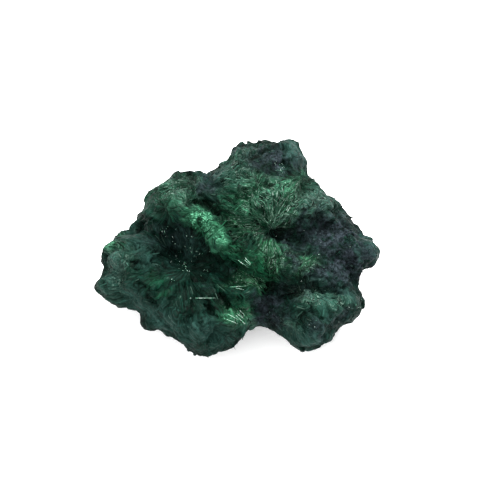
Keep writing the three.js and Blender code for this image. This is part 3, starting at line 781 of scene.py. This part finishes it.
def spike_form(name, sides, tip):
    """A spike that points up, a millimetre long and thick at its root; tip is the thickness of its end."""
    spike = bmesh.new()
    bmesh.ops.create_cone(
        spike, cap_ends=True, segments=sides, radius1=0.5 * MM, radius2=0.5 * tip * MM, depth=MM
    )
    bmesh.ops.translate(spike, verts=spike.verts, vec=(0, 0, 0.5 * MM))
    bmesh.ops.recalc_face_normals(spike, faces=spike.faces)
    return bpy.data.objects.new(name, mesh_of(spike, name))


def silk(tree):
    """The stone's own colours, in the shade that each needle or grain was given, turned silvery by its
    painted gleam.
    """
    shaded = mineral_colour(tree, tree.stored("shade"))
    return tree.node("ShaderNodeBsdfPrincipled", {}, {
        "Base Color": tree.blend(tree.stored("gleam"), shaded, PAINTED_GLEAM_SILVER), "Roughness": 0.45,
        "Specular IOR Level": 0.1, "Specular Tint": colour("6fd0a0"),
    })


def draw(tree, low, high, seed):
    """A random number for each point, from low to high."""
    limits = {2: low, 3: high, "Seed": seed}
    return tree.node("FunctionNodeRandomValue", {"data_type": "FLOAT"}, limits, output=1)


def planted(tree, ground, form, density, rotation, scale, marks, seed):
    """Copies of a form all over the ground, each with its own marks, joined into one mesh."""
    points = tree.node(
        "GeometryNodeDistributePointsOnFaces", {"distribute_method": "RANDOM"},
        {"Mesh": ground, "Density": density * (1 / MM**2), "Seed": seed},
    )
    shape = tree.node("GeometryNodeObjectInfo", {}, {"Object": form}, output="Geometry")
    grown = tree.node(
        "GeometryNodeInstanceOnPoints", {},
        {"Points": points, "Instance": shape, "Rotation": rotation, "Scale": scale},
    )
    for name, value in marks.items():
        grown = tree.node(
            "GeometryNodeStoreNamedAttribute", {"data_type": "FLOAT", "domain": "INSTANCE"},
            {"Geometry": grown, "Name": name, "Value": value},
        )
    return tree.node("GeometryNodeRealizeInstances", {}, {"Geometry": grown})


def strip(mesh):
    """Forgets what the mesh keeps for its points, apart from what its material reads."""
    for name in (
        "fibre", "side", "outward", "stature", "lift", "crowd", "rooted", "scarps", "relief", "smooth"
    ):
        if name in mesh.attributes:
            mesh.attributes.remove(mesh.attributes[name])


def lying(tree, turn, rise):
    """Turns a spike to lie along its bunch, flat side down, and rise that much off the surface."""
    side, fibre = tree.stored("side", vector=True), tree.stored("fibre", vector=True)
    cosine, sine = turn.math("COSINE", turn), turn.math("SINE", turn)
    ahead = tree.vector("SUBTRACT", tree.vector("SCALE", fibre, cosine), tree.vector("SCALE", side, sine))
    abreast = tree.vector("ADD", tree.vector("SCALE", fibre, sine), tree.vector("SCALE", side, cosine))
    aim = tree.vector("ADD", ahead, tree.vector("SCALE", tree.stored("outward", vector=True), rise))
    aligned = tree.node("FunctionNodeAlignRotationToVector", {"axis": "Z"}, {"Vector": aim})
    return tree.node(
        "FunctionNodeAlignRotationToVector", {"axis": "X", "pivot_axis": "Z"},
        {"Rotation": aligned, "Vector": abreast},
    )


def grow_needles(region, seed):
    """Nodes that cover the ground in splinters and needles."""

    def build(tree, ground):
        turn, tone, _, _, _ = bunches(tree)
        stature, lift, crowd = tree.stored("stature"), tree.stored("lift"), tree.stored("crowd")
        vivid = (tree.stored("pale") + tree.stored("emerald")) * 0.6 + 0.4
        luck = draw(tree, 0.0, 1.0, seed + 1)
        width = draw(tree, *SPLINTER_WIDTH, seed + 2)
        thickness = draw(tree, *SPLINTER_THICKNESS, seed + 3)
        length = stature * draw(tree, *SPLINTER_LENGTH, seed + 4)
        heading = turn + draw(tree, *STRAY, seed + 5)
        brightness = (luck * 0.5 + luck**8 * 1.9 - 0.46) * vivid + 0.76
        # The brightest few splinters get a painted silvery gleam
        splinters = planted(
            tree, ground, splinter_form, crowd * region["splinters_per_mm2"],
            lying(tree, heading, lift * draw(tree, *SPLINTER_LIFT, seed + 6)),
            tree.node("ShaderNodeCombineXYZ", {}, {"X": width, "Y": thickness, "Z": length}),
            {"shade": (tone * 0.7 + 1.0) * brightness, "gleam": luck**20 * 0.1}, seed,
        )
        luck = draw(tree, 0.0, 1.0, seed + 11)
        thickness = draw(tree, *NEEDLE_THICKNESS, seed + 12)
        length = stature * draw(tree, *NEEDLE_LENGTH, seed + 13)
        heading = turn + draw(tree, *STRAY, seed + 14)
        pale = tree.stored("pale")
        # Needles get a painted silvery gleam, most where the sheen is painted
        needles = planted(
            tree, ground, needle_form,
            crowd * (tone.between(-0.3, 0.5) * 0.6 + pale) * region["needles_per_mm2"],
            lying(tree, heading, lift * draw(tree, *NEEDLE_LIFT, seed + 15)),
            tree.node("ShaderNodeCombineXYZ", {}, {"X": thickness, "Y": thickness, "Z": length}),
            {"shade": luck**2 * (vivid * 2.4 + 0.6) + 0.3, "gleam": luck**4 * (pale * 1.1 + 0.02)}, seed + 10,
        )
        return tree.node("GeometryNodeJoinGeometry", {}, {0: (splinters, needles)})

    return build


needle_form = spike_form("needle_form", sides=3, tip=0.0)
splinter_form = spike_form("splinter_form", sides=5, tip=0.45)
needle_material = finish("malachite_needle", silk)
corners = np.zeros(len(clump_mesh.loops), np.int32)
clump_mesh.loops.foreach_get("vertex_index", corners)
face_owner = owner[corners.reshape(-1, 3)[:, 0]]
for number, region in enumerate(REGIONS):
    owners = [list(SPRAYS).index(spray) for spray in region["sprays"] or []]
    kept = np.isin(face_owner, owners) if owners else face_owner >= len(SPRAYS)
    ground = bmesh.new()
    ground.from_mesh(clump_mesh)
    ground.faces.ensure_lookup_table()
    bmesh.ops.delete(ground, geom=[ground.faces[n] for n in np.flatnonzero(~kept)], context="FACES")
    plot = bpy.data.objects.new("plot", mesh_of(ground, region["name"]))
    needle_mesh = geometry(plot, region["name"], grow_needles(region, 100 * number))
    strip(needle_mesh)
    add_piece(region["name"], needle_mesh, needle_material)

# The grains
# Crumbs of malachite up to three quarters of a millimetre across: a dusky crust in the recesses, and mint
# green tips of needles seen end on along the crest. They are grown fast to the stone, half sunk in it.
# gleam is how far the brightest grains turn to a painted silvery highlight
GRAINS = [
    {"name": "crust_grains", "where": "dusk", "per_mm2": 1.4, "size": (0.25, 0.8), "shade": (0.6, 1.3),
     "gleam": 0.06},
    {"name": "crest_grains", "where": "mint", "per_mm2": 16.0, "size": (0.24, 0.5), "shade": (0.25, 3.2),
     "gleam": 0.3},
]
GRAIN_LUMPS = (0.75, 1.25)  # how far each corner of a grain lies from its middle, in radii
GRAIN_SIDES = (0.6, 1.2)  # how a grain's three sizes differ


def grain_form():
    """One lumpy grain, a millimetre across."""
    grain = bmesh.new()
    bmesh.ops.create_icosphere(grain, subdivisions=1, radius=0.5 * MM)
    jitter = np.random.default_rng(3)
    for vert in grain.verts:
        vert.co *= jitter.uniform(*GRAIN_LUMPS)
    return bpy.data.objects.new("grain_form", mesh_of(grain, "grain_form"))


def scatter_grains(grain, seed):
    """Nodes that scatter grains over the ground where the crust or the crest is."""

    def build(tree, ground):
        spins = {axis: draw(tree, 0.0, math.tau, seed + n) for n, axis in enumerate("XYZ")}
        turned = tree.node("ShaderNodeCombineXYZ", {}, spins)
        small, large = grain["size"]
        size = draw(tree, 0.0, 1.0, seed + 4) ** 3 * (large - small) + small
        sizes = {axis: size * draw(tree, *GRAIN_SIDES, seed + 5 + n) for n, axis in enumerate("XYZ")}
        scale = tree.node("ShaderNodeCombineXYZ", {}, sizes)
        luck = draw(tree, 0.0, 1.0, seed + 9)
        low, high = grain["shade"]
        # Painted highlight: the brightest grains gleam silvery
        marks = {"shade": luck**2 * (high - low) + low, "gleam": luck**12 * grain["gleam"]}
        clear = tree.stored("rooted").between(0.2, 0.4) * tree.stored("scarps").between(-0.9, -0.4)
        density = tree.stored(grain["where"]).between(0.3, 0.8) * clear * grain["per_mm2"]
        return planted(tree, ground, grain_shape, density, turned, scale, marks, seed)

    return build


grain_shape = grain_form()
for number, grain in enumerate(GRAINS):
    plot = bpy.data.objects.new("plot", clump_mesh.copy())
    grain_mesh = geometry(plot, grain["name"], scatter_grains(grain, 1000 + 100 * number))
    strip(grain_mesh)
    add_piece(grain["name"], grain_mesh, needle_material)

# The bright needles
# A few long needles that lie loose in the gaps or stand out of the sprays, and tiny faces that catch the
# light. They are malachite too, coloured pale green to nearly white as painted highlights and glints.
BRIGHT_NEEDLES = [
    # across, up, length, turn in degrees, thickness
    (-7.4, -9.6, 5.0, 2, 0.09),
    (0.8, -2.4, 2.6, -42, 0.10),
    (0.4, -3.0, 2.4, -36, 0.07),
    (1.4, -2.6, 2.0, -48, 0.07),
    (-0.6, -7.4, 3.6, 4, 0.09),
    (0.2, -8.0, 2.6, -12, 0.07),
    (-1.6, -13.2, 2.4, -30, 0.09),
    (-0.8, -12.6, 2.8, -38, 0.09),
    (-1.8, -14.0, 2.2, -24, 0.08),
    (-0.2, -13.8, 2.6, -44, 0.09),
    (0.4, -12.9, 2.4, -50, 0.07),
]
GLINTS = [
    # across, up, spread, how many
    (-11.3, -3.6, 0.9, 22),
    (-13.4, -2.6, 1.6, 10),
    (-13.0, 1.6, 3.4, 18),
    (-8.6, -1.0, 3.0, 12),
    (-15.6, 3.6, 0.8, 10),
    (7.6, 16.0, 1.0, 14),
    (8.6, 12.6, 0.5, 5),
    (6.0, 5.8, 4.0, 16),
    (-13.6, -6.4, 0.4, 3),
    (-7.0, -4.4, 0.4, 4),
    (14.0, -1.0, 5.0, 8),
    (16.0, -9.0, 5.0, 10),
    (22.6, -11.0, 0.8, 4),
]
NEEDLE_GAP, GLINT_GAP = 0.1, 0.03  # how far off the stone the middle of one lies
NEEDLE_TIP = 0.3  # thickness of a tip, as a share of the needle's
GLINT_LENGTH = (0.12, 0.4)
GLINT_THICKNESS, GLINT_TIP = 0.07, 0.04


def painted_highlight_silk(tree):
    """Painted highlight: pale green that turns nearly white every half millimetre or so."""
    streak = tree.noise(tree.node("ShaderNodeTexCoord", {}, output="Object"), 2200.0)
    return tree.node("ShaderNodeBsdfPrincipled", {}, {
        "Base Color": tree.blend(streak.between(0.35, 0.65), colour("5fae86"), colour("d9efe4")),
        "Roughness": 0.25, "Specular IOR Level": 0.5,
    })


def add_spike(form, middle, aim, length, thickness, tip, sides):
    """Adds a spike that lies around its middle and points along the aim."""
    turned = aim.to_track_quat("Z", "Y").to_matrix().to_4x4()
    bmesh.ops.create_cone(
        form, cap_ends=True, segments=sides, radius1=0.5 * thickness * MM, radius2=0.5 * tip * MM,
        depth=length * MM, matrix=Matrix.Translation(Vector(middle) * MM) @ turned,
    )


bright = bmesh.new()
for across_mm, up_mm, length, turn, thickness in BRIGHT_NEEDLES:
    place, normal = surface_at(across_mm, up_mm)
    aim = np.array([math.cos(math.radians(turn)), math.sin(math.radians(turn)), 0.0]) @ FACE_AXES
    aim = aim - FACE_AXES[2] * np.clip(np.dot(aim, normal) / np.dot(FACE_AXES[2], normal), -1, 1)
    length *= np.linalg.norm(aim)
    add_spike(bright, place + NEEDLE_GAP * normal, Vector(aim), length, thickness, NEEDLE_TIP * thickness, 6)
sprinkle = np.random.default_rng(11)
for across_mm, up_mm, spread, count in GLINTS:
    for _ in range(count):
        where = sprinkle.normal((across_mm, up_mm), 0.6 * spread)
        found = surface_at(*where)
        if not found or found[0][2] > cad_high[2] / MM:
            continue
        place, normal = found
        aim = Vector(sprinkle.normal(size=3) + 0.5 * normal)
        length = sprinkle.uniform(*GLINT_LENGTH)
        add_spike(bright, place + GLINT_GAP * normal, aim, length, GLINT_THICKNESS, GLINT_TIP, 4)
add_piece("bright_needles", mesh_of(bright, "bright_needles"), finish("malachite_painted_highlight", painted_highlight_silk))

# The table
# A plain pale surface under the clump, large enough to fill the view from any side.
TABLE_SIZE = 3.0


def pale_table(tree):
    return tree.node("ShaderNodeBsdfPrincipled", {}, {
        "Base Color": colour("f4f4f4"), "Roughness": 0.9,
        "Emission Color": colour("ffffff"), "Emission Strength": 0.25,
    })


table = bmesh.new()
bmesh.ops.create_grid(table, x_segments=1, y_segments=1, size=TABLE_SIZE / 2)
table_mesh = mesh_of(table, "table")
table_mesh.materials.append(finish("table_white", pale_table))
table_top = bpy.data.objects.new("table", table_mesh)
bpy.context.scene.collection.objects.link(table_top)

# The light
# One soft lamp high behind the clump to the right, as in the photo, a weaker one in front, and a white room.
LAMPS = [
    {"name": "back_lamp", "place": (0.16, 0.30, 0.42), "size": 0.24, "watts": 8.2},
    {"name": "front_lamp", "place": (-0.25, -0.35, 0.45), "size": 0.50, "watts": 2.0},
]
ROOM_BRIGHTNESS = 1.35
for lamp in LAMPS:
    data = bpy.data.lights.new(lamp["name"], "AREA")
    data.size = lamp["size"]
    data.energy = lamp["watts"]
    lamp_object = bpy.data.objects.new(lamp["name"], data)
    lamp_object.location = lamp["place"]
    lamp_object.rotation_euler = (-Vector(lamp["place"])).to_track_quat("-Z", "Y").to_euler()
    bpy.context.scene.collection.objects.link(lamp_object)
world = bpy.data.worlds.new("white_room")
world.use_nodes = True
tree = Tree(world.node_tree)
room = tree.node("ShaderNodeBackground", {}, {"Color": colour("ffffff"), "Strength": ROOM_BRIGHTNESS})
tree.node("ShaderNodeOutputWorld", {}, {"Surface": room})
bpy.context.scene.world = world
bpy.context.scene.view_settings.view_transform = "Standard"

# The camera
# It looks at the shown face along the line of sight, from a hand's length away with a portrait lens.
LENS = 85
CAMERA_DISTANCE = 0.239
CAMERA_TARGET = Vector((2.5, -1.4, 10.8)) * MM
camera_data = bpy.data.cameras.new("camera")
camera_data.lens = LENS
camera = bpy.data.objects.new("camera", camera_data)
camera.location = CAMERA_TARGET + sight * CAMERA_DISTANCE
camera.rotation_euler = (-sight).to_track_quat("-Z", "Y").to_euler()
camera_data.clip_start = 0.01
bpy.context.scene.collection.objects.link(camera)
bpy.context.scene.camera = camera
